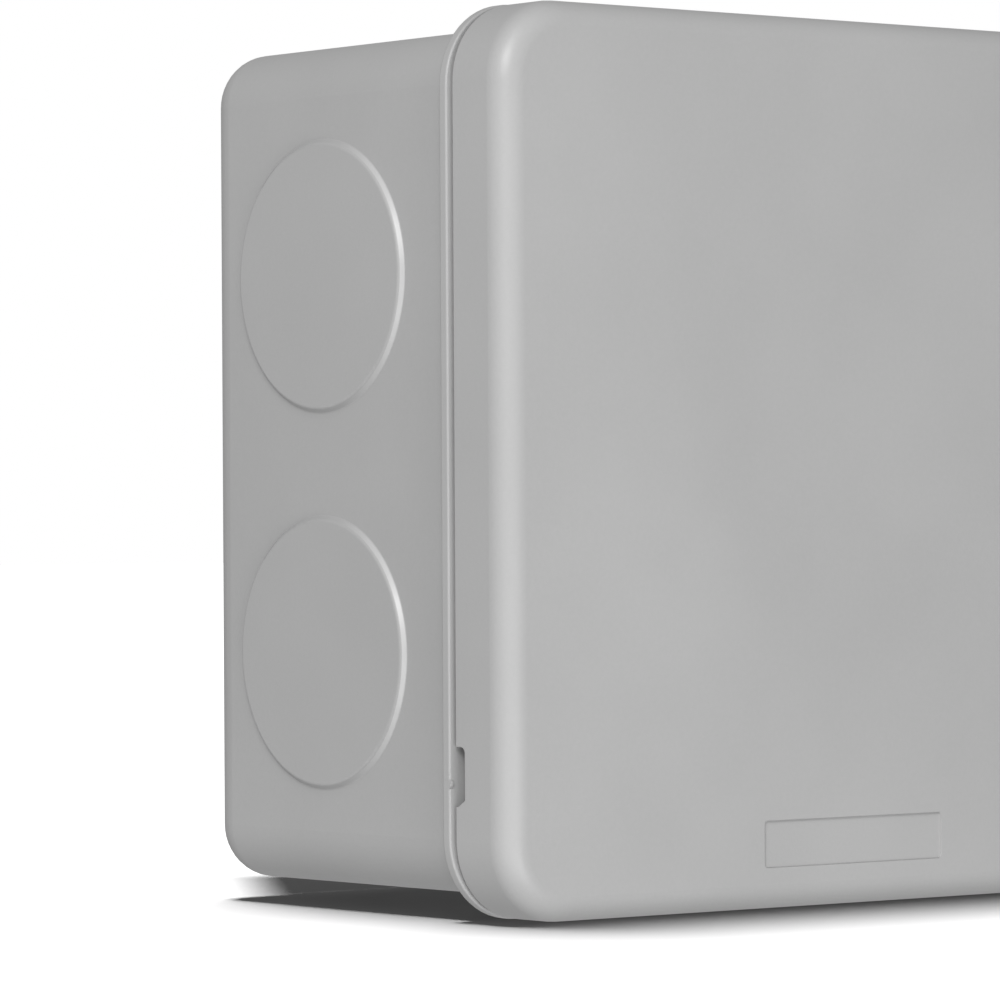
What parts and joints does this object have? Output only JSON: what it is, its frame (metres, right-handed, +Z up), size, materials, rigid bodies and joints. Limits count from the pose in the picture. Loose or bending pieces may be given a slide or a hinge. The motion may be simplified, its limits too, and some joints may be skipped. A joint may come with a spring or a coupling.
{
  "type": "junction box",
  "caption": "Square surface-mounted junction box with a deep push-on lid, round knock-out blanks in its four sides and rail terminals inside.",
  "frame": {"origin": "centre of the flat back face, on the wall plane", "axes": "+Z up, +Y into the wall, so the lid faces -Y"},
  "size_m": [0.1614, 0.094, 0.1602],
  "materials": {
    "case": "fine satin moulded thermoplastic, light neutral grey",
    "lid": "fine satin moulded thermoplastic, light neutral grey",
    "blank": "fine satin moulded thermoplastic, light neutral grey",
    "seal": "matt black elastomer",
    "rail": "zinc-plated sheet steel",
    "screw": "zinc-plated",
    "terminal": "grey polyamide",
    "terminal_neutral": "blue polyamide",
    "terminal_earth": "green and yellow polyamide",
    "clamp": "plain brass",
    "end_stop": "grey polyamide"
  },
  "bodies": {
    "case": {"back_box": "case", "din_rail": "rail", "rail_screws": "screw", "terminal_l1": "terminal", "clamp_l1": "clamp", "terminal_l2": "terminal", "clamp_l2": "clamp", "terminal_l3": "terminal", "clamp_l3": "clamp", "terminal_n": "terminal_neutral", "clamp_n": "clamp", "terminal_pe": "terminal_earth", "clamp_pe": "clamp", "clamp_screws": "screw", "end_plate": "terminal", "end_stop_left": "end_stop", "end_stop_right": "end_stop", "end_stop_screws": "screw"},
    "cover": {"lid": "lid", "lid_seal": "seal"},
    "blank_left_lower": {"knockout_left_lower": "blank"},
    "blank_left_upper": {"knockout_left_upper": "blank"},
    "blank_right_lower": {"knockout_right_lower": "blank"},
    "blank_right_upper": {"knockout_right_upper": "blank"},
    "blank_top_left": {"knockout_top_left": "blank"},
    "blank_top_right": {"knockout_top_right": "blank"},
    "blank_bottom_left": {"knockout_bottom_left": "blank"},
    "blank_bottom_right": {"knockout_bottom_right": "blank"}
  },
  "joints": [
    {"name": "lid_pull", "type": "slide", "parent": "case", "child": "cover", "axis": [0, -1, 0], "range_m": [0, 0.08]},
    {"name": "blank_left_lower_out", "type": "slide", "parent": "case", "child": "blank_left_lower", "axis": [-1, 0, 0], "range_m": [0, 0.03]},
    {"name": "blank_left_upper_out", "type": "slide", "parent": "case", "child": "blank_left_upper", "axis": [-1, 0, 0], "range_m": [0, 0.03]},
    {"name": "blank_right_lower_out", "type": "slide", "parent": "case", "child": "blank_right_lower", "axis": [1, 0, 0], "range_m": [0, 0.03]},
    {"name": "blank_right_upper_out", "type": "slide", "parent": "case", "child": "blank_right_upper", "axis": [1, 0, 0], "range_m": [0, 0.03]},
    {"name": "blank_top_left_out", "type": "slide", "parent": "case", "child": "blank_top_left", "axis": [0, 0, 1], "range_m": [0, 0.03]},
    {"name": "blank_top_right_out", "type": "slide", "parent": "case", "child": "blank_top_right", "axis": [0, 0, 1], "range_m": [0, 0.03]},
    {"name": "blank_bottom_left_out", "type": "slide", "parent": "case", "child": "blank_bottom_left", "axis": [0, 0, -1], "range_m": [0, 0.03]},
    {"name": "blank_bottom_right_out", "type": "slide", "parent": "case", "child": "blank_bottom_right", "axis": [0, 0, -1], "range_m": [0, 0.03]}
  ]
}
